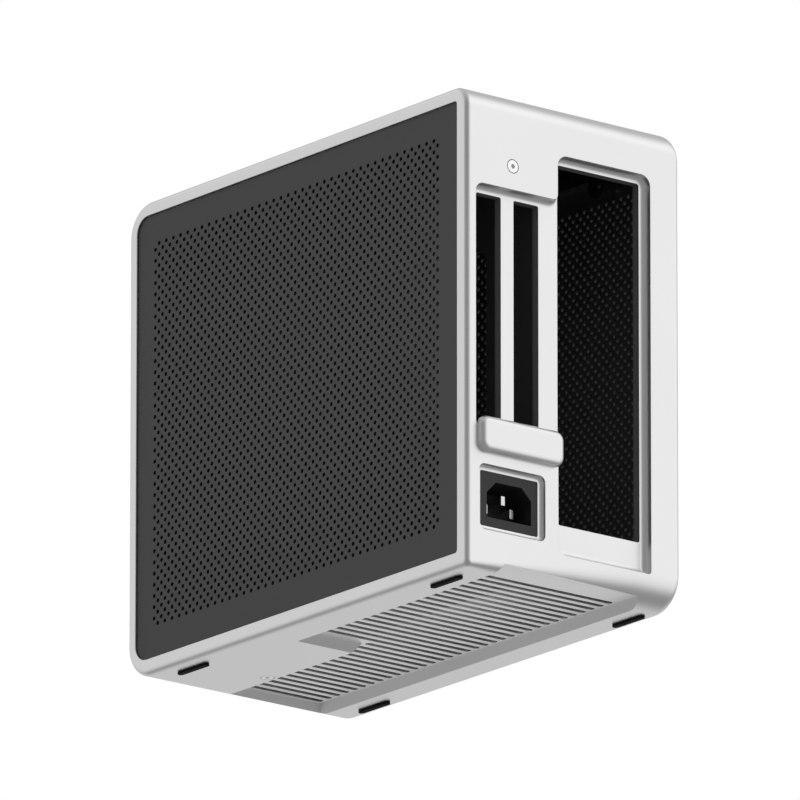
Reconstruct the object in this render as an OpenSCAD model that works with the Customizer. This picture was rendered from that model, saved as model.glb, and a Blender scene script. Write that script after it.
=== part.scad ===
// Small computer case for a mini-ITX board, about 5.8 litres.
// The graphics card chamber is on the +X side and the board chamber on the -X side.
// The front is at -Y and the rear, with its sockets and slots, is at +Y.

/* [Body] */
// Width of the body across both side panels
body_w = 116; // [112:1:130]
// Depth of the body from front to rear face
body_d = 233.5; // [226:0.5:250]
// Height of the body without its feet
body_h = 212; // [207:1:229]
// Thickness of the front and top walls
wall = 3; // [2:0.5:4]
// Thickness of the bottom wall, which is also the depth of the bottom recess
base_t = 4.1; // [3.8:0.1:5]
// Radius of the front corners, seen from the side
front_r = 14.5; // [8:0.5:18]
// Radius of the upper rear corner, seen from the side
rear_top_r = 9; // [4:0.5:10]
// Radius of the lower rear corner, seen from the side
rear_low_r = 9; // [4:0.5:10]
// Radius of the long edges on the board side
board_edge_r = 5.5; // [3:0.5:7]
// Radius of the other edges
edge_r = 2.4; // [1:0.1:3]

/* [Side panels] */
// Thickness of the perforated panels
panel_t = 1.5; // [1:0.1:2]
// Depth of a panel's face below the rim
panel_inset = 0.8; // [0.4:0.1:1.2]
// Gap between a panel's edge and the rim
panel_gap = 0.4; // [0.3:0.1:0.8]
// Width of the rim in front of the graphics side panel
rim_front = 5.6; // [4:0.1:8]
// Width of the rim behind either side panel
rim_rear = 6.7; // [6.5:0.1:11]
// Width of the rim above the graphics side panel
rim_top = 6.3; // [5:0.1:9]
// Width of the rim below the graphics side panel
rim_low = 7; // [6.8:0.1:12]
// Width of the rim above and below the board side panel
rim_board = 9; // [8:0.5:16]
// Radius of the front corners of the side panels
panel_r = 7.5; // [4:0.5:9]
// Width of the ledge behind a panel's edge
ledge = 2; // [1.5:0.5:3]
// Distance between the columns of holes
hole_step = 5; // [5:0.5:8]
// Diameter of a hole
hole_d = 3.4; // [2:0.1:3.8]
// Smallest distance from the holes to a panel's edge
hole_margin = 12.5; // [10:0.5:20]

/* [Rear face] */
// Depth of the recesses in the rear face
recess_d = 4; // [3:0.5:4.5]
// Metal left behind a recess
floor_t = 0.8; // [0.8:0.1:1.5]
// Width of the sloping wall round a recess
slope_w = 3.2; // [2:0.1:3.4]
// Height of the opening for the board's sockets
io_h = 158.75; // [158.75:0.25:160]
// Width of the opening for the board's sockets
io_w = 44.45; // [44.45:0.05:46]
// Distance from the graphics side to the socket opening
io_side = 52.3; // [51:0.1:54]
// Distance from the socket opening to the top of the body
io_drop = 25.5; // [24:0.5:28]
// Distance between two card slots
slot_step = 20.32; // [20.32:0.01:20.5]
// Width of a card slot
slot_w = 13.4; // [12:0.1:14]
// Height of a card slot
slot_h = 102; // [100:0.5:104]
// Distance from the graphics side to the middle of the first card slot
slot_side = 35.25; // [35.25:0.05:36]
// Distance from the card slots to the top of the body
slot_drop = 45.8; // [44:0.1:48]
// How far the tongue cover stands out of the rear face
cover_h = 3.5; // [2:0.5:4.5]
// Height of the tongue cover
cover_z = 16; // [14:0.2:17]

/* [Mains inlet] */
// Distance from the graphics side to the middle of the inlet
inlet_side = 24.6; // [24:0.1:26]
// Height of the inlet's middle above the bottom of the body
inlet_z = 31.8; // [31:0.1:35]
// Width of the inlet's flange
inlet_w = 30.8; // [30:0.1:31]
// Height of the inlet's flange
inlet_h = 24; // [23:0.1:24.5]

/* [Bottom] */
// Distance from either side to the recess
vent_side = 17.5; // [17:0.1:20]
// Distance from the graphics side to the recess where it is narrower
vent_narrow_side = 47; // [42:0.1:50]
// Length of the wide stretch of the recess, from the rear face
vent_wide_len = 137.5; // [120:0.5:155]
// Distance from the front face to the recess
vent_front = 9; // [9:0.5:24]
// Distance between two slots of the vent
vent_step = 6; // [5:0.25:8]
// Width of a slot of the vent
vent_slot = 3.2; // [2:0.1:3.6]
// Thickness of the vent plate
vent_t = 2; // [1.5:0.5:2.5]
// Height of the feet
foot_h = 1; // [0.5:0.1:2]
// Length of a foot
foot_len = 20.3; // [15:0.1:24]
// Width of a foot
foot_w = 2.8; // [2:0.1:4]
// Distance from either side to the middle of its two feet
foot_side = 8.7; // [8.5:0.1:12]
// Distance from the front face to the middle of the front feet
foot_front = 35.2; // [28:0.1:45]
// Distance from the rear face to the middle of the rear feet
foot_rear = 24.5; // [22:0.1:45]

/* [Inside] */
// Thickness of the steel sheet
sheet = 1.5; // [1:0.1:2]
// Thickness of the steel rear plate
rear_plate_t = 3.2; // [2:0.1:4]
// Length of a standoff
standoff_h = 6.5; // [6:0.5:7]
// Thickness of a circuit board
board_t = 1.6; // [1.2:0.1:2]
// Distance from the board's upper face to the edge of the socket opening
board_lift = 2.2; // [1.5:0.1:2.5]
// Gap round parts that move or that a screw passes
play = 0.3; // [0.2:0.05:0.4]

/* [Power button] */
// Diameter of the power button
button_d = 10; // [8:0.5:12]
// Travel of the power button
button_travel = 1.2; // [0.8:0.1:1.5]
// Distance from the power button to the top of the body
button_drop = 27; // [25:1:45]
// Distance from the graphics side to the power button
button_side = 28; // [24:1:30]

/* [Hidden] */
$fn = 48;

// Planes of the body
front_y = -(body_d + cover_h) / 2;
rear_y = front_y + body_d;
base_z = foot_h;
top_z = base_z + body_h;
side_x = body_w / 2;

// Inside faces of the walls
in_front_y = front_y + wall;
rear_t = recess_d + floor_t;
in_rear_y = rear_y - rear_t;
in_top_z = top_z - wall;
in_base_z = base_z + base_t;
floor_y = rear_y - recess_d;

// Distance from each side face to the hollow
graphics_side_t = 4.5;
board_side_t = 8;
in_graphics_x = side_x - graphics_side_t;
in_board_x = -side_x + board_side_t;
hollow_r = front_r - wall;
hollow_low_r = 7;
cut = 1;

// Panel openings as [front y, rear y, low z, top z]
graphics_open = [front_y + rim_front, rear_y - rim_rear, base_z + rim_low, top_z - rim_top];
board_open = [front_y + rim_rear, rear_y - rim_rear, base_z + rim_board, top_z - rim_board];
open_rear_r = 1.5;
pocket_d = panel_inset + panel_t;

// Rear openings
io_top_z = top_z - io_drop;
io_low_z = io_top_z - io_h;
io_x = side_x - io_side;
io_left_x = io_x - io_w;
slot_top_z = top_z - slot_drop;
slot_low_z = slot_top_z - slot_h;
slot_x = side_x - slot_side;
slot_2_x = slot_x + slot_step;
screw_x = (slot_x + slot_2_x) / 2;
slot_screw_rise = 13.6;
clamp_t = 4;
clamp_h = 10;
screw_z = slot_top_z + slot_screw_rise;
recess_low_z = base_z + 14;
recess_overlap = 10;
corner_r = 5;
cover_lap = 2.7;
cover_top_z = slot_low_z + cover_lap;
cover_x0 = io_x + 1.3;
cover_x1 = slot_2_x + slot_w / 2 + slope_w - 0.6;
cover_radii = [4, 4, 4, 4];

// Inlet
inlet_x = side_x - inlet_side;
inlet_mid_z = base_z + inlet_z;
inlet_rim = 2.3;
inlet_flange_t = 1.6;
inlet_body_w = 27.4;
inlet_body_h = 20;
inlet_body_d = 24;
cavity_w = 23.9;
cavity_h = 15.8;
cavity_d = 16;
cavity_cut = 5;
blade_w = 2;
blade_h = 4;
blade_step = 7;
blade_rise = 2;
blade_deeper = 3;

// Vent
vent_wide_x = side_x - vent_side;
vent_narrow_x = side_x - vent_narrow_side;
vent_board_x = -side_x + vent_side;
vent_step_y = rear_y - vent_wide_len;
vent_front_y = front_y + vent_front;
vent_lap = 1.4;
vent_end = 1.2;
vent_first_y = rear_y - 19.5;
vent_count = floor((vent_first_y - vent_front_y - slope_w - vent_end) / vent_step);

// Feet
foot_places = [
    for (x = [side_x - foot_side, -side_x + foot_side])
        for (y = [front_y + foot_front, rear_y - foot_rear]) [x, y]];

// Board, spine and card
board_face_x = io_x - board_lift;
spine_x = board_face_x + board_t + standoff_h;
plate_y = in_rear_y - rear_plate_t;
spine_low_z = in_base_z + vent_t;
flange_w = 14;
flange_reach = 9;
board_size = 170;
board_top_z = (io_top_z + io_low_z + board_size) / 2;
board_rear_y = plate_y - 1;
hole_rear = 10.16;
hole_rear_offset = 33.02;
hole_front = 165.1;
hole_side = 6.35;
hole_far_side = 163.83;
spine_front_y = board_rear_y - hole_front - 11.4;
spine_screw_x = spine_x + flange_w / 2 + 1;

// Windows in the spine, behind the processor, for the riser and for cables
window_r = 6;
cpu_y = board_rear_y - 72;
cpu_z = board_top_z - board_size / 2 + 12;
cpu_half = 38;
riser_window_h = 16;
cable_window_w = 20;

// Screws
m3_r = 1.5;
standoff_r = 3;
m3_head_r = 2.8;
m3_head_h = 1.6;
socket_r = 1.1;
socket_depth = 1;
thread_r = 1.45;

// Stud clips, 4 to each panel
stud_r = 2;
ball_r = 2.6;
clip_w = 12;
clip_t = 6;
clip_from_rear = 38.6;
clip_from_front = 38;
clip_rear_y = rear_y - clip_from_rear;
clip_front_y = front_y + clip_from_front;
stud_edge = 5.5;

// Front board behind the power button
button_x = side_x - button_side;
front_boss_x = [button_x - 16, button_x + 14];
front_boss_z = top_z - button_drop;
front_board_y = in_front_y + 7;
front_boss_r = 3;
board_rim = 4;
usb_z = front_boss_z - 14;
usb_w = 9;
usb_h = 3.2;
usb_wall = 0.4;
usb_depth = 7;
tongue_w = 6.6;
tongue_t = 0.7;
collar_t = 1;
stem_r = 1.5;
stem_len = 3;
switch_w = 9;

// Riser
riser_x = slot_x - 3;
riser_z = slot_low_z - 8;
riser_len = 95;
riser_y1 = plate_y - 45;
riser_y0 = riser_y1 - riser_len;
riser_fold_h = 16;
riser_lip = 8;
riser_board_half = 6;
riser_screw_y = [riser_y0 + 12, riser_y1 - 12];
riser_screw_z = riser_z - riser_fold_h / 2;
card_socket_w = 7.5;
card_socket_h = 11;
card_socket_len = 89;
card_socket_y1 = riser_y1 - 3;
card_slot_w = 1.8;
card_slot_floor = 2;
card_key_y = card_socket_y1 - 13;
card_key_w = 2;
card_end_wall = 2;

// Places of screws and of the board's four holes
hole_r = m3_r + 0.1;
thin_depth = 2;
deep_depth = 2.8;
vent_tab_r = 6.5;
vent_tab_reach = 1.7;
psu_ear = 8.25;
psu_half_w = -in_board_x - 1 - psu_ear;
psu_screw_x = [-psu_half_w - psu_ear / 2, psu_half_w + psu_ear / 2];
psu_shelf_z = in_base_z + hollow_low_r + 0.5;
psu_shelf_d = spine_front_y - in_front_y - 3;
psu_flange_h = 22;
psu_rim = 9;
psu_screw_z = psu_shelf_z + 14;
base_screw_places = [[vent_narrow_x + 3.7, spine_front_y - 5.6]];
vent_screw_x = vent_board_x - vent_tab_reach;
vent_screw_places = [
    [vent_screw_x, clip_rear_y - 16.4],
    [vent_screw_x, clip_front_y + 20.5],
    [vent_wide_x - 10.6, vent_step_y - vent_tab_reach]];
vent_holes = concat(vent_screw_places, base_screw_places);
spine_top_screw_y = [-40, 60];
spine_low_screw_y = -50;
board_low_z = board_top_z - hole_far_side;
board_holes = [
    [board_rear_y - hole_rear, board_top_z - hole_side],
    [board_rear_y - hole_rear_offset, board_low_z],
    [board_rear_y - hole_front, board_top_z - hole_side],
    [board_rear_y - hole_front, board_low_z]];

// Maps an outline drawn as x and z to a solid between two y
module along_y(y0, y1) {
    translate([0, y1, 0]) rotate([90, 0, 0]) linear_extrude(y1 - y0) children();
}

// Maps an outline drawn as y and z to a solid between two x
module along_x(x0, x1) {
    translate([x0, 0, 0]) rotate([90, 0, 90]) linear_extrude(x1 - x0) children();
}

// Maps an outline drawn as x and y to a solid between two z
module along_z(z0, z1) {
    translate([0, 0, z0]) linear_extrude(z1 - z0) children();
}

// What rounding one corner of an outline takes away
module corner(u, v, du, dv, r) {
    translate([u, v])
        difference() {
            translate([du > 0 ? -cut : -r, dv > 0 ? -cut : -r]) square(r + cut);
            translate([du * r, dv * r]) circle(r);
        }
}

// Rectangle whose corners have their own radii, from the low left one anticlockwise
module plate(u0, u1, v0, v1, r) {
    difference() {
        translate([u0, v0]) square([u1 - u0, v1 - v0]);
        if (r[0] > 0) corner(u0, v0, 1, 1, r[0]);
        if (r[1] > 0) corner(u1, v0, -1, 1, r[1]);
        if (r[2] > 0) corner(u1, v1, -1, -1, r[2]);
        if (r[3] > 0) corner(u0, v1, 1, -1, r[3]);
    }
}

// The same with one radius
module rounded(u0, u1, v0, v1, r) {
    plate(u0, u1, v0, v1, [r, r, r, r]);
}

module block(x0, x1, y0, y1, z0, z1) {
    translate([x0, y0, z0]) cube([x1 - x0, y1 - y0, z1 - z0]);
}

// Cylinder along y
module pin_y(x, z, y0, y1, r) {
    translate([x, y0, z]) rotate([-90, 0, 0]) cylinder(r = r, h = y1 - y0);
}

// Cylinder along z
module pin_z(x, y, z0, z1, r) {
    translate([x, y, z0]) cylinder(r = r, h = z1 - z0);
}

// Cylinder along x
module pin_x(y, z, x0, x1, r) {
    translate([x0, y, z]) rotate([0, 90, 0]) cylinder(r = r, h = x1 - x0);
}

// Recess in the rear face with sloping walls, from its outline at the face
module recess(x0, x1, z0, z1, r, slope) {
    hull() {
        along_y(rear_y, rear_y + cut) plate(x0, x1, z0, z1, [r, r, r, r], $fn = 32);
        along_y(floor_y, floor_y + 0.4)
            plate(x0 + slope, x1 - slope, z0 + slope, z1 - slope, [r, r, r, r] / 2, $fn = 32);
    }
}

// Outline of an opening for a side panel, made smaller by inset
module panel_outline(o, inset) {
    rr = max(panel_r - inset, 1);
    rs = max(open_rear_r - inset / 2, 0.5);
    plate(o[0] + inset, o[1] - inset, o[2] + inset, o[3] - inset, [rr, rs, rs, rr]);
}

// The block from which the hollow and the openings are cut
module shell_blank() {
    intersection() {
        along_y(front_y, rear_y)
            plate(-side_x, side_x, base_z, top_z, [board_edge_r, edge_r, edge_r, board_edge_r]);
        along_x(-side_x, side_x)
            plate(front_y, rear_y, base_z, top_z, [front_r, rear_low_r, rear_top_r, front_r]);
        along_z(base_z, top_z)
            plate(-side_x, side_x, front_y, rear_y, [edge_r, edge_r, edge_r, edge_r]);
    }
}

// One stretch of the bottom recess, whose walls slope in to its floor
module bottom_recess(x1, y0) {
    hull() {
        block(vent_board_x, x1, y0, rear_y + cut, base_z - cut, base_z);
        block(vent_board_x + slope_w, x1 - slope_w, y0 + slope_w, rear_y + cut, in_base_z - 0.4, in_base_z);
    }
}

// Plan of the vent plate, wide at the rear and narrow at the front
module vent_plan() {
    grow = vent_lap - slope_w;
    translate([vent_board_x - grow, vent_step_y - grow])
        square([vent_wide_x - vent_board_x + 2 * grow, in_rear_y - vent_step_y + grow]);
    translate([vent_board_x - grow, vent_front_y - grow])
        square([vent_narrow_x - vent_board_x + 2 * grow, in_rear_y - vent_front_y + grow]);
}

// Places of the four clips of a panel as [y, z]
function clip_places(o) = [
    for (y = [clip_front_y, clip_rear_y])
        for (z = [o[2] + ledge + stud_edge, o[3] - ledge - stud_edge]) [y, z]];

// Openings for the sockets, the card slots and the inlet, cut along y
module rear_openings(y0, y1) {
    block(io_left_x, io_x, y0, y1, io_low_z, io_top_z);
    for (x = [slot_x, slot_2_x])
        block(x - slot_w / 2, x + slot_w / 2, y0, y1, slot_low_z, slot_top_z);
    block(inlet_x - inlet_body_w / 2 - play, inlet_x + inlet_body_w / 2 + play, y0, y1,
        inlet_mid_z - inlet_body_h / 2 - play, inlet_mid_z + inlet_body_h / 2 + play);
}

module outer_shell() {
    color("gainsboro")
    difference() {
        union() {
            difference() {
                shell_blank();
                along_x(in_board_x, in_graphics_x)
                    plate(in_front_y, in_rear_y, in_base_z, in_top_z,
                        [hollow_low_r, 0, 0, hollow_r]);
                along_x(0, side_x + cut) panel_outline(graphics_open, ledge);
                along_x(side_x - pocket_d, side_x + cut) panel_outline(graphics_open, 0);
                along_x(-side_x - cut, 0) panel_outline(board_open, ledge);
                along_x(-side_x - cut, -side_x + pocket_d) panel_outline(board_open, 0);
                bottom_recess(vent_wide_x, vent_step_y);
                bottom_recess(vent_narrow_x, vent_front_y);
                recess(io_left_x - slope_w, io_x + slope_w - 0.4, recess_low_z,
                    io_top_z + slope_w, corner_r, slope_w);
                recess(io_x - recess_overlap, slot_2_x + slot_w / 2 + slope_w, slot_low_z - slope_w,
                    slot_top_z + slope_w, corner_r, slope_w);
                recess(inlet_x - inlet_w / 2 - inlet_rim, inlet_x + inlet_w / 2 + inlet_rim,
                    inlet_mid_z - inlet_h / 2 - inlet_rim, inlet_mid_z + inlet_h / 2 + inlet_rim,
                    corner_r / 2, inlet_rim - 0.3);
            }
            for (x = front_boss_x) pin_y(x, front_boss_z, in_front_y - cut, front_board_y, front_boss_r);
        }
        rear_openings(in_rear_y - cut, floor_y + cut);
        pin_y(screw_x, screw_z, in_rear_y - cut, rear_y + cut, m3_r + play / 2);
        pin_y(screw_x, screw_z, rear_y - m3_head_h, rear_y + cut, m3_head_r + play);
        for (x = front_boss_x) pin_y(x, front_boss_z, in_front_y + 1, front_board_y + cut, hole_r);
        pin_y(button_x, front_boss_z, front_y - cut, in_front_y + cut, button_d / 2 + play);
        block(button_x - usb_w / 2 - 0.1, button_x + usb_w / 2 + 0.1, front_y - cut, in_front_y + cut,
            usb_z - usb_h / 2 - 0.1, usb_z + usb_h / 2 + 0.1);
        for (p = base_screw_places) {
            pin_z(p[0], p[1], base_z - cut, in_base_z + cut, m3_r + play / 2);
            pin_z(p[0], p[1], base_z - cut, base_z + m3_head_h, m3_head_r + play);
        }
        for (x = psu_screw_x)
            pin_y(x, psu_screw_z, in_front_y - thin_depth, in_front_y + cut, hole_r);
        for (p = vent_screw_places) pin_z(p[0], p[1], in_base_z - deep_depth, in_base_z + cut, hole_r);
        for (y = spine_top_screw_y)
            pin_z(spine_screw_x, y, in_top_z - cut, in_top_z + thin_depth, hole_r);
        pin_z(spine_screw_x, spine_low_screw_y, in_base_z - deep_depth, in_base_z + cut, hole_r);
    }
}

// Flat perforated panel that fills an opening
module perforated(o) {
    y_mid = (o[0] + o[1]) / 2;
    z_mid = (o[2] + o[3]) / 2;
    cols = floor((o[1] - o[0] - 2 * hole_margin) / hole_step / 2);
    rows = floor((o[3] - o[2] - 2 * hole_margin) / hole_step / 4);
    difference() {
        panel_outline(o, panel_gap);
        for (c = [-cols : cols])
            for (k = [-rows : rows])
                translate([y_mid + c * hole_step, z_mid + (2 * k + (c % 2 == 0 ? 0.5 : -0.5)) * hole_step])
                    circle(d = hole_d, $fn = 16);
    }
}

module graphics_side_panel() {
    color("dimgray")
        along_x(side_x - pocket_d, side_x - panel_inset) perforated(graphics_open);
}

module board_side_panel() {
    color("dimgray")
        along_x(-side_x + panel_inset, -side_x + pocket_d) perforated(board_open);
}

// Pins with a round head on a panel's inner face, side is 1 or -1
module studs(o, side, len) {
    for (p = clip_places(o))
        translate([side * (side_x - pocket_d), p[0], p[1]]) rotate([0, -side * 90, 0]) {
            cylinder(r = stud_r, h = len);
            translate([0, 0, len]) sphere(r = ball_r);
        }
}

module graphics_panel_studs() {
    color("silver") studs(graphics_open, 1, graphics_side_t - pocket_d + clip_t / 2);
}

module board_panel_studs() {
    color("silver") studs(board_open, -1, board_side_t - pocket_d + clip_t / 2);
}

// Tabs with a round end that stand on the top and bottom walls and hold the studs
module clips(o, side) {
    x0 = side > 0 ? in_graphics_x - clip_t : in_board_x;
    for (p = clip_places(o))
        difference() {
            along_x(x0, x0 + clip_t)
                union() {
                    translate(p) circle(d = clip_w);
                    translate([p[0] - clip_w / 2, p[1] > body_h / 2 ? p[1] : in_base_z])
                        square([clip_w, p[1] > body_h / 2 ? in_top_z - p[1] : p[1] - in_base_z]);
                }
            pin_x(p[0], p[1], x0 - cut, x0 + clip_t + cut, ball_r + play);
        }
}

module graphics_stud_clips() {
    color("black") clips(graphics_open, 1);
}

module board_stud_clips() {
    color("black") clips(board_open, -1);
}

// Black steel plate behind the rear face, with the same openings
module rear_plate() {
    color("#202020")
    difference() {
        block(in_board_x, in_graphics_x, plate_y, in_rear_y, in_base_z + vent_t, in_top_z);
        rear_openings(plate_y - cut, in_rear_y + cut);
        pin_y(screw_x, screw_z, plate_y - cut, in_rear_y + cut, m3_r + play / 2);
    }
}

// Raised cover over the ends of the card brackets
module tongue_cover() {
    color("gainsboro")
    hull() {
        for (step = [[0, 0], [0.38, 0.06], [0.71, 0.22], [0.92, 0.55], [1, 1]])
            along_y(rear_y, rear_y + cover_h * step[0] + 0.05)
                plate(cover_x0 + cover_h * step[1] * 0.8, cover_x1 - cover_h * step[1] * 0.8,
                    cover_top_z - cover_z + cover_h * step[1] * 0.8,
                    cover_top_z - cover_h * step[1] * 0.8, cover_radii, $fn = 32);
    }
}

// Steel bar that the screw pulls against the card brackets
module bracket_clamp() {
    color("#303030")
    difference() {
        block(slot_x - slot_w / 2, slot_2_x + slot_w / 2, plate_y - clamp_t, plate_y,
            screw_z - clamp_h / 2, screw_z + clamp_h / 2);
        pin_y(screw_x, screw_z, plate_y - clamp_t - cut, plate_y + cut, m3_r + play / 2);
    }
}

// Pan-head screw with a six-sided socket, head up and its seat at the origin
module screw(len) {
    difference() {
        union() {
            cylinder(r = m3_head_r, h = m3_head_h);
            translate([0, 0, -len]) cylinder(r = m3_r, h = len + 0.2);
        }
        translate([0, 0, m3_head_h - socket_depth]) cylinder(r = socket_r, h = socket_depth + cut, $fn = 6);
    }
}

// Screw along y whose head points to the rear
module screw_rear(x, y, z, len) {
    translate([x, y, z]) rotate([-90, 0, 0]) screw(len);
}

module slot_screw() {
    color("white") screw_rear(screw_x, rear_y - m3_head_h, screw_z, rear_t + rear_plate_t + 2);
}

// Outline of the inlet's cavity, with its two upper corners cut
module cavity() {
    w = cavity_w / 2;
    h = cavity_h / 2;
    polygon([[-w, -h], [w, -h], [w, h - cavity_cut], [w - cavity_cut, h],
        [-w + cavity_cut, h], [-w, h - cavity_cut]]);
}

module inlet_body() {
    color("#1c1c1c")
    difference() {
        union() {
            along_y(floor_y, floor_y + inlet_flange_t)
                plate(inlet_x - inlet_w / 2, inlet_x + inlet_w / 2, inlet_mid_z - inlet_h / 2,
                    inlet_mid_z + inlet_h / 2, [1.5, 1.5, 1.5, 1.5]);
            block(inlet_x - inlet_body_w / 2, inlet_x + inlet_body_w / 2, floor_y - inlet_body_d,
                floor_y + 0.1, inlet_mid_z - inlet_body_h / 2, inlet_mid_z + inlet_body_h / 2);
        }
        translate([inlet_x, floor_y + inlet_flange_t + cut, inlet_mid_z])
            rotate([90, 0, 0]) linear_extrude(cavity_d + cut) cavity();
    }
}

module inlet_blades() {
    y0 = floor_y + inlet_flange_t - cavity_d;
    color("silver")
    for (p = [[0, blade_rise, 0], [blade_step, -blade_rise, blade_deeper],
            [-blade_step, -blade_rise, blade_deeper]])
        block(inlet_x + p[0] - blade_w / 2, inlet_x + p[0] + blade_w / 2, y0, y0 + cavity_d - 4 - p[2],
            inlet_mid_z + p[1] - blade_h / 2, inlet_mid_z + p[1] + blade_h / 2);
}

// Ribbed plate that lies on the bottom wall and shows through its opening
module vent_plate() {
    color("lightgray")
    difference() {
        along_z(in_base_z, in_base_z + vent_t)
            union() {
                vent_plan();
                for (p = vent_holes) translate(p) circle(r = vent_tab_r);
            }
        for (p = vent_holes) pin_z(p[0], p[1], in_base_z - cut, in_base_z + vent_t + cut, hole_r);
        for (k = [0 : vent_count]) {
            y = vent_first_y - k * vent_step;
            wide = y - vent_slot / 2 > vent_step_y + slope_w + vent_end;
            x1 = (wide ? vent_wide_x : vent_narrow_x) - slope_w - vent_end;
            x0 = vent_board_x + slope_w + vent_end;
            block(x0 + vent_slot / 2, x1 - vent_slot / 2, y - vent_slot / 2, y + vent_slot / 2,
                in_base_z - cut, in_base_z + vent_t + cut);
            for (x = [x0 + vent_slot / 2, x1 - vent_slot / 2])
                pin_z(x, y, in_base_z - cut, in_base_z + vent_t + cut, vent_slot / 2);
        }
    }
}

// Screw along z from the face that its head sits on, with its shank up or down
module screw_z_axis(x, y, z, len, up) {
    translate([x, y, z]) rotate([up ? 180 : 0, 0, 0]) screw(len);
}

module vent_screws() {
    color("#303030")
    for (p = vent_screw_places)
        screw_z_axis(p[0], p[1], in_base_z + vent_t, vent_t + deep_depth - 0.5, false);
}

// Rubber strips with round ends under the four corners
module feet() {
    color("#181818")
    for (p = foot_places)
        along_z(0, foot_h)
            translate(p) {
                square([foot_w, foot_len - foot_w], center = true);
                for (s = [-1, 1]) translate([0, s * (foot_len - foot_w) / 2]) circle(d = foot_w);
            }
}

module base_screws() {
    color("gainsboro")
    for (p = base_screw_places)
        screw_z_axis(p[0], p[1], base_z + m3_head_h, base_t - m3_head_h + vent_t + sheet, true);
}

// Steel wall between the two chambers, folded at its top and bottom
module centre_spine() {
    color("#262626")
    difference() {
        union() {
            block(spine_x, spine_x + sheet, spine_front_y, plate_y, spine_low_z, in_top_z);
            block(spine_x, spine_x + flange_w, spine_front_y - flange_reach, plate_y,
                spine_low_z, spine_low_z + sheet);
            block(spine_x, spine_x + flange_w, spine_front_y, plate_y - flange_reach / 2,
                in_top_z - sheet, in_top_z);
        }
        along_x(spine_x - cut, spine_x + sheet + cut) {
            rounded(cpu_y - cpu_half, cpu_y + cpu_half, cpu_z - cpu_half, cpu_z + cpu_half, window_r);
            rounded(riser_y0 + window_r, riser_y1 - window_r, spine_low_z + riser_window_h / 2,
                spine_low_z + riser_window_h * 1.5, window_r / 2);
            rounded(spine_front_y + window_r, spine_front_y + window_r + cable_window_w,
                cpu_z - cpu_half, cpu_z + cpu_half, window_r);
        }
        for (p = base_screw_places)
            pin_z(p[0], p[1], spine_low_z - cut, spine_low_z + sheet + cut, hole_r);
        for (p = board_holes) pin_x(p[0], p[1], spine_x - cut, spine_x + sheet + cut, hole_r);
        for (y = riser_screw_y) pin_x(y, riser_screw_z, spine_x - cut, spine_x + sheet + cut, hole_r);
        for (y = spine_top_screw_y)
            pin_z(spine_screw_x, y, in_top_z - sheet - cut, in_top_z + cut, hole_r);
        pin_z(spine_screw_x, spine_low_screw_y, spine_low_z - cut, spine_low_z + sheet + cut, hole_r);
    }
}

module spine_screws() {
    color("#303030") {
        for (y = spine_top_screw_y)
            screw_z_axis(spine_screw_x, y, in_top_z - sheet, sheet + thin_depth - 0.2, true);
        screw_z_axis(spine_screw_x, spine_low_screw_y, spine_low_z + sheet,
            sheet + vent_t + deep_depth - 0.5, false);
    }
}

module board_standoffs() {
    color("goldenrod")
    for (p = board_holes)
        difference() {
            translate([board_face_x + board_t, p[0], p[1]]) rotate([0, 90, 0])
                cylinder(r = standoff_r, h = standoff_h, $fn = 6);
            pin_x(p[0], p[1], board_face_x + board_t - cut, spine_x + cut, thread_r);
        }
}

// Folded bracket on the spine that carries the riser
module riser_bracket() {
    color("#262626")
    difference() {
        union() {
            block(spine_x + sheet, spine_x + 2 * sheet, riser_y0, riser_y1,
                riser_z - riser_fold_h, riser_z);
            block(spine_x + sheet, riser_x + riser_lip, riser_y0, riser_y1, riser_z - sheet, riser_z);
        }
        for (y = riser_screw_y)
            pin_x(y, riser_screw_z, spine_x + sheet - cut, spine_x + 2 * sheet + cut, hole_r);
    }
}

module riser_board() {
    color("#1d2b22")
        block(riser_x + 1 - riser_board_half, riser_x + 1 + riser_board_half, riser_y0 + 1,
            riser_y1 - 1, riser_z, riser_z + board_t);
}

// Card socket with its long slot and the key
module riser_socket() {
    z0 = riser_z + board_t;
    color("#151515")
    difference() {
        block(riser_x - card_socket_w / 2, riser_x + card_socket_w / 2,
            card_socket_y1 - card_socket_len, card_socket_y1, z0, z0 + card_socket_h);
        block(riser_x - card_slot_w / 2, riser_x + card_slot_w / 2,
            card_socket_y1 - card_socket_len + card_end_wall, card_key_y - card_key_w / 2,
            z0 + card_slot_floor, z0 + card_socket_h + cut);
        block(riser_x - card_slot_w / 2, riser_x + card_slot_w / 2, card_key_y + card_key_w / 2,
            card_socket_y1 - card_end_wall, z0 + card_slot_floor, z0 + card_socket_h + cut);
    }
}

module riser_screws() {
    color("#303030")
    for (y = riser_screw_y)
        translate([spine_x + 2 * sheet, y, riser_screw_z]) rotate([0, 90, 0]) screw(2 * sheet + 1);
}

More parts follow.
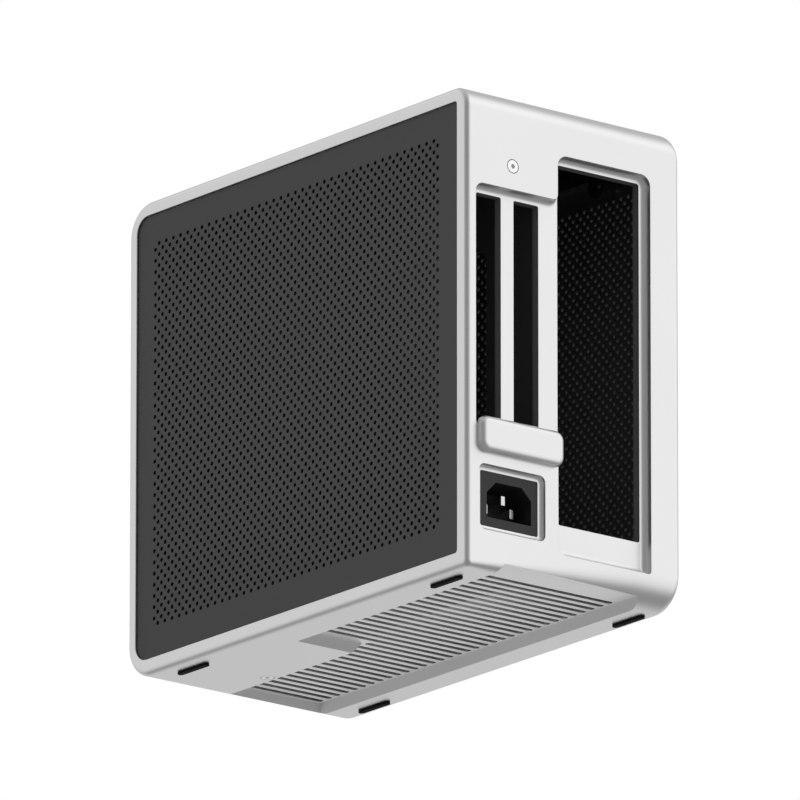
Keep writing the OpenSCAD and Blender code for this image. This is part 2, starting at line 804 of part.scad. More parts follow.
// Folded shelf for a flex power supply, fixed to the front wall
module psu_bracket() {
    y1 = in_front_y + psu_shelf_d;
    z0 = psu_shelf_z;
    color("#262626")
    difference() {
        union() {
            block(-psu_half_w, psu_half_w, in_front_y, y1, z0, z0 + sheet);
            block(-psu_half_w - psu_ear, psu_half_w + psu_ear, in_front_y, in_front_y + sheet,
                z0, z0 + psu_flange_h);
        }
        along_z(z0 - cut, z0 + sheet + cut)
            rounded(-psu_half_w + psu_rim, psu_half_w - psu_rim, in_front_y + psu_rim,
                y1 - psu_rim, window_r / 2);
        for (x = [-psu_half_w + psu_rim / 2, psu_half_w - psu_rim / 2])
            for (y = [in_front_y + psu_rim * 0.7, y1 - psu_rim / 2])
                pin_z(x, y, z0 - cut, z0 + sheet + cut, hole_r);
        for (x = psu_screw_x)
            pin_y(x, psu_screw_z, in_front_y - cut, in_front_y + sheet + cut, hole_r);
    }
}

module psu_screws() {
    color("#303030")
    for (x = psu_screw_x)
        screw_rear(x, in_front_y + sheet, psu_screw_z, sheet + thin_depth - 0.2);
}

// Cap with a collar behind the wall and a stem that enters the switch
module power_button() {
    color("gainsboro")
    union() {
        pin_y(button_x, front_boss_z, front_y, in_front_y + 0.5, button_d / 2);
        pin_y(button_x, front_boss_z, in_front_y, in_front_y + collar_t, button_d / 2 + 1);
        pin_y(button_x, front_boss_z, in_front_y, in_front_y + collar_t + stem_len, stem_r);
    }
}

module power_switch() {
    y0 = in_front_y + collar_t + button_travel + play;
    color("#1c1c1c")
    difference() {
        block(button_x - switch_w / 2, button_x + switch_w / 2, y0, front_board_y,
            front_boss_z - switch_w / 2, front_boss_z + switch_w / 2);
        pin_y(button_x, front_boss_z, y0 - cut, front_board_y - 0.4, stem_r + play);
    }
}

module front_board() {
    color("#1d2b22")
    difference() {
        block(front_boss_x[0] - board_rim, front_boss_x[1] + board_rim, front_board_y,
            front_board_y + board_t, usb_z - 2 * board_rim, front_boss_z + 2 * board_rim);
        for (x = front_boss_x)
            pin_y(x, front_boss_z, front_board_y - cut, front_board_y + board_t + cut, hole_r);
    }
}

module usb_socket() {
    color("silver")
    union() {
        difference() {
            block(button_x - usb_w / 2, button_x + usb_w / 2, front_y + usb_wall, front_board_y,
                usb_z - usb_h / 2, usb_z + usb_h / 2);
            block(button_x - usb_w / 2 + usb_wall, button_x + usb_w / 2 - usb_wall, front_y - cut,
                front_y + usb_depth, usb_z - usb_h / 2 + usb_wall, usb_z + usb_h / 2 - usb_wall);
        }
        block(button_x - tongue_w / 2, button_x + tongue_w / 2, front_y + 1.4, front_y + usb_depth + 0.5,
            usb_z - tongue_t / 2, usb_z + tongue_t / 2);
    }
}

module front_board_screws() {
    color("#303030")
    for (x = front_boss_x)
        screw_rear(x, front_board_y + board_t, front_boss_z, board_t + deep_depth);
}

outer_shell();
graphics_side_panel();
board_side_panel();
graphics_panel_studs();
board_panel_studs();
graphics_stud_clips();
board_stud_clips();
rear_plate();
tongue_cover();
bracket_clamp();
slot_screw();
inlet_body();
inlet_blades();
vent_plate();
vent_screws();
feet();
base_screws();
centre_spine();
spine_screws();
board_standoffs();
riser_bracket();
riser_board();
riser_socket();
riser_screws();
psu_bracket();
psu_screws();
power_button();
power_switch();
front_board();
usb_socket();
front_board_screws();
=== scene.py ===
from math import cos, pi, radians, sin, sqrt

import bmesh
import bpy
from mathutils import Matrix, Vector


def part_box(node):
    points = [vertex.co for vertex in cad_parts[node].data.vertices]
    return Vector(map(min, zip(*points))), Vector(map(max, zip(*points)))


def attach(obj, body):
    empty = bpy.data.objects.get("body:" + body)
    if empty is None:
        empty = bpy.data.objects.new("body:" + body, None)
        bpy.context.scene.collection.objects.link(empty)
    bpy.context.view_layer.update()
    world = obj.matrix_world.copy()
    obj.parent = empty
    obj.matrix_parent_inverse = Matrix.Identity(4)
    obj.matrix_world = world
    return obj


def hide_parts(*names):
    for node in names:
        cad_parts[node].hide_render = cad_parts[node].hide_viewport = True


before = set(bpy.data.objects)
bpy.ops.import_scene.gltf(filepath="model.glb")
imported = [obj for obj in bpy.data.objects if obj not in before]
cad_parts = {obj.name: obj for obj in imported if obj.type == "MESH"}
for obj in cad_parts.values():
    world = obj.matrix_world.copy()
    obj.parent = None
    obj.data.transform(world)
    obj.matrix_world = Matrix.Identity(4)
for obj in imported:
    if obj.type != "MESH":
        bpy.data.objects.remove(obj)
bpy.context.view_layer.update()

# Body shell
# One thick aluminium piece that is milled open at both sides, the rear and the bottom.
# It is blasted and anodised silver outside. Its hollow is painted black, as painted shade inside the
# case.
mm = 0.001
shell_low, shell_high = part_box("outer_shell")
vent_low, vent_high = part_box("vent_plate")
rear_y = shell_high[1]
front_y = shell_low[1]
base_z = shell_low[2]
top_z = shell_high[2]
side_x = shell_high[0]
edge_r = 2.4 * mm
low_edge_r = 2.9 * mm
board_edge_r = 5.5 * mm
front_r = 14.5 * mm
rear_top_r = [9 * mm, 10.5 * mm]
rear_low_r = [2.5 * mm, 13.4 * mm]
recess_d = 4 * mm
floor_y = rear_y - recess_d
in_rear_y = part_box("rear_plate")[1][1]
wall = 3 * mm
cut = 2 * mm


def outline(u0, u1, v0, v1, radii, steps=8):
    """Rectangle with rounded corners, anticlockwise from the low left one."""
    places = [(u0, v0, 1, 1), (u1, v0, -1, 1), (u1, v1, -1, -1), (u0, v1, 1, -1)]
    points = []
    for number, ((u, v, du, dv), r) in enumerate(zip(places, radii)):
        for step in range(steps + 1):
            angle = pi + number * pi / 2 + step * pi / 2 / steps
            points.append((u + du * r + r * cos(angle), v + dv * r + r * sin(angle)))
    return points


def loft(name, rings):
    """Closed mesh through rings of as many points each, with a flat cap at both ends."""
    mesh = bmesh.new()
    rows = [[mesh.verts.new(point) for point in ring] for ring in rings]
    for low_row, high_row in zip(rows, rows[1:]):
        for i in range(len(low_row)):
            j = (i + 1) % len(low_row)
            mesh.faces.new((low_row[i], low_row[j], high_row[j], high_row[i]))
    mesh.faces.new(rows[0][::-1])
    mesh.faces.new(rows[-1])
    bmesh.ops.recalc_face_normals(mesh, faces=mesh.faces)
    return place_mesh(name, mesh)


def place_mesh(name, mesh):
    """Turns a bmesh into an object at the origin."""
    data = bpy.data.meshes.new(name)
    mesh.to_mesh(data)
    mesh.free()
    piece = bpy.data.objects.new(name, data)
    bpy.context.scene.collection.objects.link(piece)
    return piece


def along_x(points, x):
    return [(x, u, v) for u, v in points]


def along_y(points, y):
    return [(u, y, v) for u, v in points]


def along_z(points, z):
    return [(u, v, z) for u, v in points]


def arc_inset(distance, radius):
    """How far a quarter-round edge draws an outline in, at a distance from the face."""
    if distance >= radius:
        return 0
    return radius - sqrt(radius * radius - (radius - distance) ** 2)


# From the graphics side the lower rear edge grows rounder up to this share of the width
full_share = 0.8


def body_slice(x):
    """Side outline of the body at one x, drawn in where the long edges are round."""
    share = (side_x - x) / (2 * side_x)
    near = side_x - abs(x)
    over_board = x < 0
    lift_low = arc_inset(near, board_edge_r if over_board else low_edge_r)
    lift_top = arc_inset(near, board_edge_r if over_board else edge_r)
    draw = arc_inset(near, edge_r)
    top_r = rear_top_r[0] + share * (rear_top_r[1] - rear_top_r[0])
    low_r = rear_low_r[0] + min(share / full_share, 1) * (rear_low_r[1] - rear_low_r[0])
    radii = [front_r - draw, max(low_r - draw / 2, draw), top_r - draw / 2, front_r - draw]
    low, top = base_z + lift_low, top_z - lift_top
    return along_x(outline(front_y + draw, rear_y - draw, low, top, radii, 12), x)


def edge_places(radius, steps):
    """Distances from a face that divide a quarter-round edge evenly."""
    return [radius * (1 - cos(pi / 2 * step / steps)) for step in range(steps + 1)]


board_places = sorted(set(edge_places(board_edge_r, 9) + edge_places(edge_r, 5)))
graphics_places = sorted(set(edge_places(low_edge_r, 7) + edge_places(edge_r, 6)), reverse=True)
slices = [-side_x + place for place in board_places]
slices += [side_x - 2 * side_x * full_share, 0, side_x / 2]
slices += [side_x - place for place in graphics_places]
shell = loft("body_shell", [body_slice(x) for x in slices])


def carve(piece, cutters):
    """Takes each cutter away from the piece."""
    for cutter in cutters:
        step = piece.modifiers.new("cut", "BOOLEAN")
        step.operation = "DIFFERENCE"
        step.solver = "EXACT"
        step.object = cutter
        result = bpy.data.meshes.new_from_object(
            piece.evaluated_get(bpy.context.evaluated_depsgraph_get()))
        piece.modifiers.clear()
        piece.data = result
        bpy.data.objects.remove(cutter)


def prism(name, points, along, start, end):
    return loft(name, [along(points, start), along(points, end)])


least_r = 0.4 * mm
cove_steps = 8


def inset_path(corners, inset, steps=8):
    """Outline with square corners, drawn in evenly. Each corner is (u, v, radius)."""
    points = []
    for number, (u, v, radius) in enumerate(corners):
        before = Vector(corners[number - 1][:2])
        after = Vector(corners[(number + 1) % len(corners)][:2])
        here = Vector((u, v))
        a, b = (here - before).normalized(), (after - here).normalized()
        turn = a.x * b.y - a.y * b.x
        here = here + inset * (Vector((-a.y, a.x)) + Vector((-b.y, b.x)))
        r = max(radius - inset, least_r) if turn > 0 else radius + inset
        centre = here + (b - a) * r
        for step in range(steps + 1):
            angle = pi / 2 * step / steps
            points.append(tuple(centre + (a * sin(angle) - b * cos(angle)) * r))
    return points


def cove(name, corners, width, full_depth):
    """Recess in the rear face whose wall is steep at the face and runs out on the floor."""
    rings = [along_y(inset_path(corners, 0), rear_y + cut)]
    for step in range(cove_steps + 1):
        angle = pi / 2 * step / cove_steps
        path = inset_path(corners, width * (1 - cos(angle)))
        rings.append(along_y(path, rear_y - full_depth * sin(angle)))
    return loft(name, rings)


hollow_board_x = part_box("rear_plate")[0][0]
hollow_graphics_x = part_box("rear_plate")[1][0]
in_top_z = top_z - wall
in_base_z = vent_low[2]
hollow_low_r = 7 * mm
square_r = 0.05 * mm
hollow_radii = [hollow_low_r, square_r, square_r, front_r - wall]
hollow = outline(front_y + wall, in_rear_y, in_base_z, in_top_z, hollow_radii)

# The panels' openings, taken from the panels with the gap round them
gap = 0.4 * mm
ledge = 2 * mm
lip = 0.15 * mm
panel_r = 7.5 * mm
opening_rear_r = 1.5 * mm


def panel_opening(node, side):
    """Window behind a panel and the pocket that it lies in, with a broken outer edge."""
    low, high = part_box(node)
    y0, y1, z0, z1 = low[1] - gap, high[1] + gap, low[2] - gap, high[2] + gap
    floor_x = low[0] if side > 0 else high[0]
    face_x = side * side_x

    def ring(inset, x):
        front, rear = panel_r - inset, opening_rear_r - inset / 2
        radii = [front, rear, rear, front]
        return along_x(outline(y0 + inset, y1 - inset, z0 + inset, z1 - inset, radii), x)

    window = loft(node + "_window", [ring(ledge, 0), ring(ledge, face_x + side * cut)])
    pocket = loft(node + "_pocket", [
        ring(0, floor_x), ring(0, face_x - side * lip),
        ring(-lip, face_x), ring(-lip, face_x + side * cut)])
    return [window, pocket]


# The rear openings
io = dict(x0=-38.75 * mm, x1=5.7 * mm, z0=28.75 * mm, z1=187.5 * mm)
slot_x = [22.75 * mm, 43.07 * mm]
slot_w = 13.4 * mm
slot_z = [65.2 * mm, 167.2 * mm]
io_r = 1.2 * mm
slot_r = 0.8 * mm
cove_w = 3.2 * mm
inlet_low, inlet_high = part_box("inlet_body")
inlet_rim = 2.3 * mm
screw_low, screw_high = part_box("slot_screw")
screw_x = (screw_low[0] + screw_high[0]) / 2
screw_z = (screw_low[2] + screw_high[2]) / 2
button_low, button_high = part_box("power_button")
button_x = (button_low[0] + button_high[0]) / 2
button_z = (button_low[2] + button_high[2]) / 2
usb_low, usb_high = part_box("usb_socket")
play = 0.3 * mm
snug = 0.1 * mm
usb_r = 1.6 * mm
button_r = 5 * mm
screw_sink_r = 3.1 * mm


def round_cutter(name, centre, radius, start, end, along, steps=12):
    """Cylinder along x, y or z."""
    u, v = centre
    points = outline(u - radius, u + radius, v - radius, v + radius, [radius] * 4, steps)
    following = points[1:] + points[:1]
    single = [p for p, q in zip(points, following) if (Vector(p) - Vector(q)).length > 1e-7]
    return prism(name, single, along, start, end)


cutters = [prism("hollow", hollow, along_x, hollow_board_x, hollow_graphics_x)]
cutters += panel_opening("graphics_side_panel", 1)
cutters += panel_opening("board_side_panel", -1)

# The recess round the sockets and the slots is one outline, and each corner has its radius
recess_r = 5 * mm
slots_r = 4 * mm
recess_x = [io["x0"] - cove_w, io["x1"] + 2.8 * mm]
recess_z = [14.4 * mm, io["z1"] + cove_w]
slots_x = slot_x[1] + slot_w / 2 + cove_w
slots_z = [slot_z[0] - cove_w, slot_z[1] + 3.3 * mm]
recess_corners = [
    (recess_x[0], recess_z[0], 1.5 * mm), (recess_x[1], recess_z[0], recess_r),
    (recess_x[1], slots_z[0], 1 * mm), (slots_x, slots_z[0], slots_r),
    (slots_x, slots_z[1], slots_r), (recess_x[1], slots_z[1], 2.5 * mm),
    (recess_x[1], recess_z[1], recess_r), (recess_x[0], recess_z[1], recess_r)]
cutters.append(cove("rear_recess", recess_corners, cove_w, recess_d))


def rear_opening(name, x0, x1, z0, z1, radius):
    """Hole through the recess floor with slightly round corners."""
    edge = outline(x0, x1, z0, z1, [radius] * 4, 4)
    return prism(name, edge, along_y, in_rear_y - cut, rear_y + cut)


cutters.append(rear_opening("io_opening", io["x0"], io["x1"], io["z0"], io["z1"], io_r))
for number, x in enumerate(slot_x):
    x0, x1 = x - slot_w / 2, x + slot_w / 2
    cutters.append(rear_opening("slot_%d" % number, x0, x1, slot_z[0], slot_z[1], slot_r))

# The inlet's flange lies in a pocket, and the edge round it runs out to the flange
flange_t = 1.6 * mm
pocket_r = 0.9 * mm
rim_r = 3 * mm
flange_side = 1.5 * mm
flange_end = 1.8 * mm
pocket_x = [inlet_low[0] - snug, inlet_high[0] + snug]
pocket_z = [inlet_low[2] - snug, inlet_high[2] + snug]
rim_x = [pocket_x[0] - inlet_rim, pocket_x[1] + inlet_rim]
rim_z = [pocket_z[0] - inlet_rim, pocket_z[1] + inlet_rim]
rim_corners = [
    (rim_x[0], rim_z[0], rim_r), (rim_x[1], rim_z[0], rim_r),
    (rim_x[1], rim_z[1], rim_r), (rim_x[0], rim_z[1], rim_r)]
cutters.append(cove("inlet_rim", rim_corners, inlet_rim, recess_d - flange_t))
pocket = outline(*pocket_x, *pocket_z, [pocket_r] * 4, 4)
cutters.append(prism("inlet_pocket", pocket, along_y, floor_y, rear_y + cut))
cutters.append(rear_opening("inlet_hole", pocket_x[0] + flange_side, pocket_x[1] - flange_side,
                            pocket_z[0] + flange_end, pocket_z[1] - flange_end, 1 * mm))

# The screw, the button and the front socket
cutters.append(round_cutter(
    "screw_sink", (screw_x, screw_z), screw_sink_r, screw_low[1], rear_y + cut, along_y))
front_start, front_end = front_y - cut, front_y + wall + cut
cutters.append(round_cutter(
    "button_hole", (button_x, button_z), button_r + play, front_start, front_end, along_y))
usb_outline = outline(
    usb_low[0] - snug, usb_high[0] + snug, usb_low[2] - snug, usb_high[2] + snug, [usb_r] * 4)
cutters.append(prism("usb_hole", usb_outline, along_y, front_start, front_end))

# The bottom recess is wide at the rear, where it is open, and narrow at the front
recess_slope = 3.2 * mm
recess_side_x = 40.5 * mm
recess_narrow_x = 11 * mm
recess_step_y = -22.5 * mm
recess_front_y = -109.5 * mm


def bottom_recess(name, x1, y0):
    """One stretch of the recess, with walls that slope in to its floor."""
    rings = []
    for inset, z in ((0, base_z - cut), (0, base_z), (recess_slope, in_base_z)):
        left, right, front, rear = -recess_side_x + inset, x1 - inset, y0 + inset, rear_y + cut
        rings.append(along_z([(left, front), (right, front), (right, rear), (left, rear)], z))
    return loft(name, rings)


cutters.append(bottom_recess("recess_wide", recess_side_x, recess_step_y))
cutters.append(bottom_recess("recess_narrow", recess_narrow_x, recess_front_y))
base_low, base_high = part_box("base_screws")
base_screw_at = ((base_low[0] + base_high[0]) / 2, (base_low[1] + base_high[1]) / 2)
screw_head_h = 1.6 * mm
cutters.append(round_cutter(
    "base_screw_sink", base_screw_at, screw_sink_r, base_z - cut, base_low[2] + screw_head_h, along_z))
carve(shell, cutters)


def smooth(piece, angle=28):
    """Shades smoothly, but keeps edges sharper than the angle."""
    mesh = bmesh.new()
    mesh.from_mesh(piece.data)
    bmesh.ops.remove_doubles(mesh, verts=mesh.verts, dist=1e-6)
    bmesh.ops.dissolve_degenerate(mesh, edges=mesh.edges, dist=1e-6)
    for face in mesh.faces:
        face.smooth = True
    for edge in mesh.edges:
        edge.smooth = edge.is_manifold and edge.calc_face_angle(pi) < radians(angle)
    mesh.to_mesh(piece.data)
    mesh.free()
    weights = piece.modifiers.new("normals", "WEIGHTED_NORMAL")
    weights.keep_sharp = True


smooth(shell)


def material(name, colour, metallic, roughness, grain=0.1, grain_size=0.4 * mm, broken_edge=0.2 * mm):
    """Finish with fine grain, slight changes of tone and slightly rounded edges."""
    made = bpy.data.materials.new(name)
    made.use_nodes = True
    tree = made.node_tree
    shader = tree.nodes["Principled BSDF"]
    shader.inputs["Metallic"].default_value = metallic
    place = tree.nodes.new("ShaderNodeTexCoord")
    patches = tree.nodes.new("ShaderNodeTexNoise")
    patches.inputs["Scale"].default_value = 18
    tree.links.new(place.outputs["Object"], patches.inputs["Vector"])
    tone = tree.nodes.new("ShaderNodeMapRange")
    tone.inputs["To Min"].default_value = 0.96
    tone.inputs["To Max"].default_value = 1.04
    tree.links.new(patches.outputs["Fac"], tone.inputs["Value"])
    tint = tree.nodes.new("ShaderNodeVectorMath")
    tint.operation = "SCALE"
    tint.inputs[0].default_value = colour
    tree.links.new(tone.outputs["Result"], tint.inputs["Scale"])
    tree.links.new(tint.outputs["Vector"], shader.inputs["Base Color"])
    rough = tree.nodes.new("ShaderNodeMapRange")
    rough.inputs["To Min"].default_value = roughness - 0.03
    rough.inputs["To Max"].default_value = roughness + 0.03
    tree.links.new(patches.outputs["Fac"], rough.inputs["Value"])
    tree.links.new(rough.outputs["Result"], shader.inputs["Roughness"])
    specks = tree.nodes.new("ShaderNodeTexNoise")
    specks.inputs["Scale"].default_value = 1 / grain_size
    tree.links.new(place.outputs["Object"], specks.inputs["Vector"])
    edge = tree.nodes.new("ShaderNodeBevel")
    edge.samples = 4
    edge.inputs["Radius"].default_value = broken_edge
    bump = tree.nodes.new("ShaderNodeBump")
    bump.inputs["Strength"].default_value = grain
    bump.inputs["Distance"].default_value = 0.05 * mm
    tree.links.new(specks.outputs["Fac"], bump.inputs["Height"])
    tree.links.new(edge.outputs["Normal"], bump.inputs["Normal"])
    tree.links.new(bump.outputs["Normal"], shader.inputs["Normal"])
    return made


silver = material("anodised_silver", (0.86, 0.86, 0.865), 1.0, 0.36, grain=0.12)
hollow_painted_shade = material("hollow_painted_shade", (0.04, 0.04, 0.042), 0.0, 0.55)
shell.data.materials.clear()
shell.data.materials.append(silver)
shell.data.materials.append(hollow_painted_shade)
# Faces inside the hollow get the black material, as painted shade inside the case.
slack = Vector((1, 1, 1)) * 0.01 * mm
inner_low = Vector((hollow_board_x, front_y + wall, in_base_z)) - slack
inner_high = Vector((hollow_graphics_x, in_rear_y, in_top_z)) + slack
for face in shell.data.polygons:
    inside = all(inner_low[i] <= face.center[i] <= inner_high[i] for i in range(3))
    face.material_index = 1 if inside else 0
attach(shell, "chassis")
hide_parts("outer_shell")

# Side panels
# Sheet metal that is punched all over with small round holes in staggered columns and
# coated matt black, with the walls of the holes darker as painted shade. Each hangs on four studs in
# its opening and pulls straight off.
hole_step = [2.5 * mm, 5 * mm]
hole_r = 0.95 * mm
hole_sides = 12
hole_columns = 79
hole_rows = 34
border_rear_r = 1.3 * mm
panel_black = material("panel_black", (0.069, 0.069, 0.07), 0.0, 0.55, grain=0.15)
# Darker black for the walls of the holes: painted shade inside the holes.
hole_painted_shade = material("hole_painted_shade", (0.022, 0.022, 0.022), 0.0, 0.6)


def punched_panel(name, node, holes_y, holes_z):
    """Panel with a plain border. Every second column has one hole more than the others."""
    low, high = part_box(node)
    front = panel_r - gap
    radii = [front, border_rear_r, border_rear_r, front]
    border = outline(low[1], high[1], low[2], high[2], radii)
    mesh = bmesh.new()
    faces = {}
    for x in (low[0], high[0]):
        points = {}

        def point(y, z):
            key = (round(y / mm * 1000), round(z / mm * 1000))
            if key not in points:
                points[key] = mesh.verts.new((x, y, z))
            return points[key]

        half_y, half_z = hole_step[0] / 2, hole_step[1] / 2
        for column in range(hole_columns):
            for row in range(hole_rows + column % 2):
                y = holes_y + column * hole_step[0]
                z = holes_z + row * hole_step[1] - (column % 2) * half_z
                around = []
                for step in range(hole_sides):
                    angle = 2 * pi * step / hole_sides
                    around.append(mesh.verts.new((x, y + hole_r * cos(angle), z + hole_r * sin(angle))))
                faces.setdefault((column, row), []).append(around)
                right = [point(y + half_y, z + rise) for rise in (-half_z, 0, half_z)]
                left = [point(y - half_y, z + rise) for rise in (half_z, 0, -half_z)]
                quarter = hole_sides // 4
                a, b, c, d = around[0], around[quarter], around[2 * quarter], around[3 * quarter]
                mesh.faces.new([right[1], right[2]] + around[1:quarter + 1][::-1] + [a])
                mesh.faces.new([right[2], left[0]] + [b])
                mesh.faces.new([left[0], left[1], c] + around[quarter:2 * quarter][::-1])
                mesh.faces.new([left[1], left[2]] + around[2 * quarter:3 * quarter + 1][::-1])
                mesh.faces.new([left[2], right[0], d])
                mesh.faces.new([right[0], right[1], a] + around[3 * quarter:][::-1])
        rim = [mesh.verts.new((x, y, z)) for y, z in border]
        ring = [mesh.edges.new((rim[i], rim[(i + 1) % len(rim)])) for i in range(len(rim))]
        grid = set(points.values())
        inner = [e for e in mesh.edges if len(e.link_faces) == 1 and all(v in grid for v in e.verts)]
        bmesh.ops.triangle_fill(mesh, edges=ring + inner, use_beauty=True)
        faces.setdefault("rim", []).append(rim)
    # The walls of the holes get the darker black, as painted shade; the border's edge keeps the panel
    # black.
    for key, (near, far) in faces.items():
        for i in range(len(near)):
            j = (i + 1) % len(near)
            side_face = mesh.faces.new((near[i], near[j], far[j], far[i]))
            side_face.material_index = 0 if key == "rim" else 1
    bmesh.ops.recalc_face_normals(mesh, faces=mesh.faces)
    panel = place_mesh(name, mesh)
    panel.data.materials.append(panel_black)
    panel.data.materials.append(hole_painted_shade)
    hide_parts(node)
    return panel


graphics_panel = punched_panel(
    "graphics_panel_punched", "graphics_side_panel", -100.7 * mm, 25.4 * mm)
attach(graphics_panel, "graphics_panel")
board_panel = punched_panel(
    "board_panel_punched", "board_side_panel", -99.3 * mm, 24.5 * mm)
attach(board_panel, "board_panel")

# Tongue cover
# Milled aluminium bar over the tongues of the card brackets, with round edges and
# corners. It lies on the floor of the rear recess.
cover_low, cover_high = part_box("tongue_cover")
cover_edge = 3 * mm
cover_corner_r = 4.5 * mm
cover_steps = 7


def cover_ring(inset, y):
    """Outline of the cover, drawn in evenly."""
    corners = [cover_corner_r - inset] * 4
    return along_y(outline(cover_low[0] + inset, cover_high[0] - inset,
                           cover_low[2] + inset, cover_high[2] - inset, corners), y)


cover_rings = [cover_ring(0, cover_low[1])]
for step in range(cover_steps + 1):
    angle = pi / 2 * step / cover_steps
    inset = cover_edge * (1 - cos(angle))
    cover_rings.append(cover_ring(inset, cover_high[1] - cover_edge + cover_edge * sin(angle)))
cover = loft("tongue_cover_round", cover_rings)
cover.data.materials.append(silver)
smooth(cover)
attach(cover, "chassis")
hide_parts("tongue_cover")

# Steel and plastic inside
# The rear plate, the wall between the chambers and the brackets are black steel sheet. The rear plate
# is given a lighter grey than the other steel, as painted light on the walls of its openings.
# The inlet, the clips, the sockets and the switch are black plastic.
black_plastic = material("black_plastic", (0.02, 0.02, 0.021), 0.0, 0.5)
bright_metal = material("bright_metal", (0.75, 0.75, 0.76), 1.0, 0.25, grain=0.03)
white_screw = material("white_screw", (0.98, 0.98, 0.97), 1.0, 0.36, grain=0.03)
black_screw = material("black_screw", (0.03, 0.03, 0.03), 0.6, 0.4, grain=0.05)
rubber = material("foot_rubber", (0.01, 0.01, 0.01), 0.0, 0.85, grain=0.3)
rubber.node_tree.nodes["Principled BSDF"].inputs["Specular IOR Level"].default_value = 0.15
brass = material("standoff_brass", (0.72, 0.5, 0.2), 1.0, 0.3, grain=0.03)
lacquer = material("board_lacquer", (0.012, 0.03, 0.02), 0.0, 0.3, grain=0.05)
inner_steel = material("inner_steel", (0.08, 0.08, 0.082), 0.0, 0.5)
# Lighter grey copy of the black steel for the rear plate: painted light on the walls of its openings.
plate_painted_light = material("plate_painted_light", (0.2, 0.2, 0.2), 0.0, 0.5)
finishes = {
    plate_painted_light: ["rear_plate"],
    inner_steel: ["bracket_clamp", "centre_spine", "riser_bracket", "psu_bracket"],
    black_plastic: [
        "inlet_body", "graphics_stud_clips", "board_stud_clips", "riser_socket", "power_switch"],
    bright_metal: ["graphics_panel_studs", "board_panel_studs", "inlet_blades", "usb_socket"],
    white_screw: ["slot_screw", "base_screws"],
    black_screw: ["vent_screws", "spine_screws", "riser_screws", "psu_screws", "front_board_screws"],
    rubber: ["feet"],
    brass: ["board_standoffs"],
    lacquer: ["riser_board", "front_board"],
    silver: ["vent_plate", "power_button"],
}
for finish, names in finishes.items():
    for name in names:
        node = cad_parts[name]
        node.data.materials.clear()
        node.data.materials.append(finish)

# Floor
# A pale studio floor that is seen only from above, so that it doesn't hide the case
# from a camera below it, and lets light reach the case's underside.
floor_half = 3
mesh = bmesh.new()
bmesh.ops.create_grid(mesh, x_segments=1, y_segments=1, size=floor_half)
studio_floor = place_mesh("studio_floor", mesh)
pale = bpy.data.materials.new("pale_floor")
pale.use_nodes = True
tree = pale.node_tree
tree.nodes["Principled BSDF"].inputs["Base Color"].default_value = (0.85, 0.85, 0.85, 1)
tree.nodes["Principled BSDF"].inputs["Roughness"].default_value = 0.7
clear = tree.nodes.new("ShaderNodeBsdfTransparent")
ray = tree.nodes.new("ShaderNodeLightPath")
side = tree.nodes.new("ShaderNodeNewGeometry")
front_only = tree.nodes.new("ShaderNodeMath")
front_only.operation = "SUBTRACT"
front_only.use_clamp = True
tree.links.new(ray.outputs["Is Camera Ray"], front_only.inputs[0])
tree.links.new(side.outputs["Backfacing"], front_only.inputs[1])
shown = tree.nodes.new("ShaderNodeMixShader")
tree.links.new(front_only.outputs["Value"], shown.inputs["Fac"])
tree.links.new(clear.outputs["BSDF"], shown.inputs[1])
tree.links.new(tree.nodes["Principled BSDF"].outputs["BSDF"], shown.inputs[2])
tree.links.new(shown.outputs["Shader"], tree.nodes["Material Output"].inputs["Surface"])
studio_floor.data.materials.append(pale)

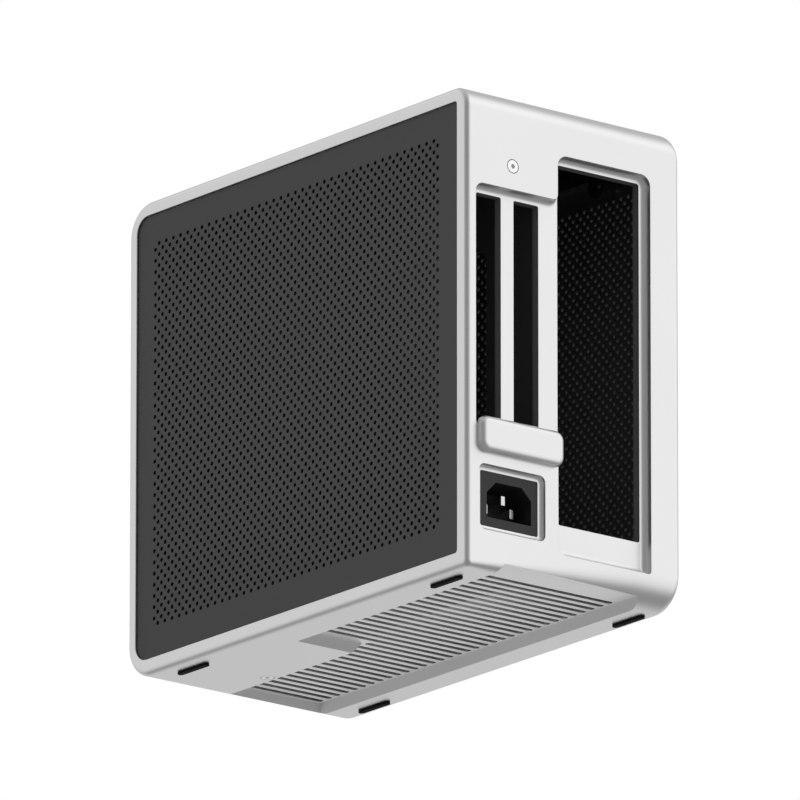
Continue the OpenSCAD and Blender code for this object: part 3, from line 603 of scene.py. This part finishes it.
# Light
# A dim tent round the case with a bright field for the rear face, one for the side, one
# for the bottom and one from above. The camera sees the tent as plain white.
turn = radians(38.875)
tilt = radians(-17.072)
roll = radians(-0.1085)
to_camera = Vector((sin(turn) * cos(tilt), cos(turn) * cos(tilt), sin(tilt)))
tent = bpy.data.worlds.new("tent")
bpy.context.scene.world = tent
tent.use_nodes = True
tree = tent.node_tree
tree.nodes.clear()
place = tree.nodes.new("ShaderNodeTexCoord")
glow = None
glows = [
    (Vector((-0.60, 0.744, 0.294)), 0.55, 0.95, 0.69),
    (Vector((0.60, -0.744, 0.294)), 0.6, 0.96, 0.46),
    (Vector((-0.60, -0.744, -0.294)), 0.5, 0.96, 0.38),
    (Vector((-0.3, -0.1, 0.95)), 0.2, 0.9, 0.25),
]
base_glow = 0.26
for direction, start, end, strength in glows:
    facing = tree.nodes.new("ShaderNodeVectorMath")
    facing.operation = "DOT_PRODUCT"
    facing.inputs[1].default_value = direction.normalized()
    tree.links.new(place.outputs["Generated"], facing.inputs[0])
    lobe = tree.nodes.new("ShaderNodeMapRange")
    lobe.interpolation_type = "SMOOTHSTEP"
    lobe.inputs["From Min"].default_value = start
    lobe.inputs["From Max"].default_value = end
    lobe.inputs["To Max"].default_value = strength
    tree.links.new(facing.outputs["Value"], lobe.inputs["Value"])
    total = tree.nodes.new("ShaderNodeMath")
    total.operation = "ADD"
    total.inputs[1].default_value = base_glow
    if glow:
        tree.links.new(glow, total.inputs[1])
    tree.links.new(lobe.outputs["Result"], total.inputs[0])
    glow = total.outputs["Value"]
ray = tree.nodes.new("ShaderNodeLightPath")
strength = tree.nodes.new("ShaderNodeMix")
tree.links.new(ray.outputs["Is Camera Ray"], strength.inputs["Factor"])
tree.links.new(glow, strength.inputs["A"])
strength.inputs["B"].default_value = 1.0
background = tree.nodes.new("ShaderNodeBackground")
background.inputs["Color"].default_value = (1, 1, 1, 1)
tree.links.new(strength.outputs["Result"], background.inputs["Strength"])
world_output = tree.nodes.new("ShaderNodeOutputWorld")
tree.links.new(background.outputs["Background"], world_output.inputs["Surface"])

# Camera
# A long lens from below the rear on the graphics side, as in the photograph.
lens = 893.8
width_mm = 36
picture = 800
reach = 8.427
aim_pixel = (557.067, 165.164)
aim = Vector((5.7 * mm, floor_y, 187.5 * mm))
right = Vector((-cos(turn), sin(turn), 0))
up = to_camera.cross(right)
right_rolled = right * cos(roll) + up * sin(roll)
up_rolled = up * cos(roll) - right * sin(roll)
focal = lens / width_mm * picture
middle = picture / 2
aside = right_rolled * (middle - aim_pixel[0]) / focal
above = up_rolled * (middle - aim_pixel[1]) / focal
look = (-to_camera + aside - above).normalized()
camera_right = (right_rolled - look * right_rolled.dot(look)).normalized()
camera_up = camera_right.cross(look)
camera = bpy.data.objects.new("camera", bpy.data.cameras.new("camera"))
bpy.context.scene.collection.objects.link(camera)
camera.data.lens = lens
camera.data.sensor_width = width_mm
camera.data.clip_end = 50
turned = Matrix((camera_right, camera_up, -look)).transposed().to_4x4()
camera.matrix_world = Matrix.Translation(aim + to_camera * reach) @ turned
bpy.context.scene.camera = camera
bpy.context.scene.view_settings.view_transform = "Standard"
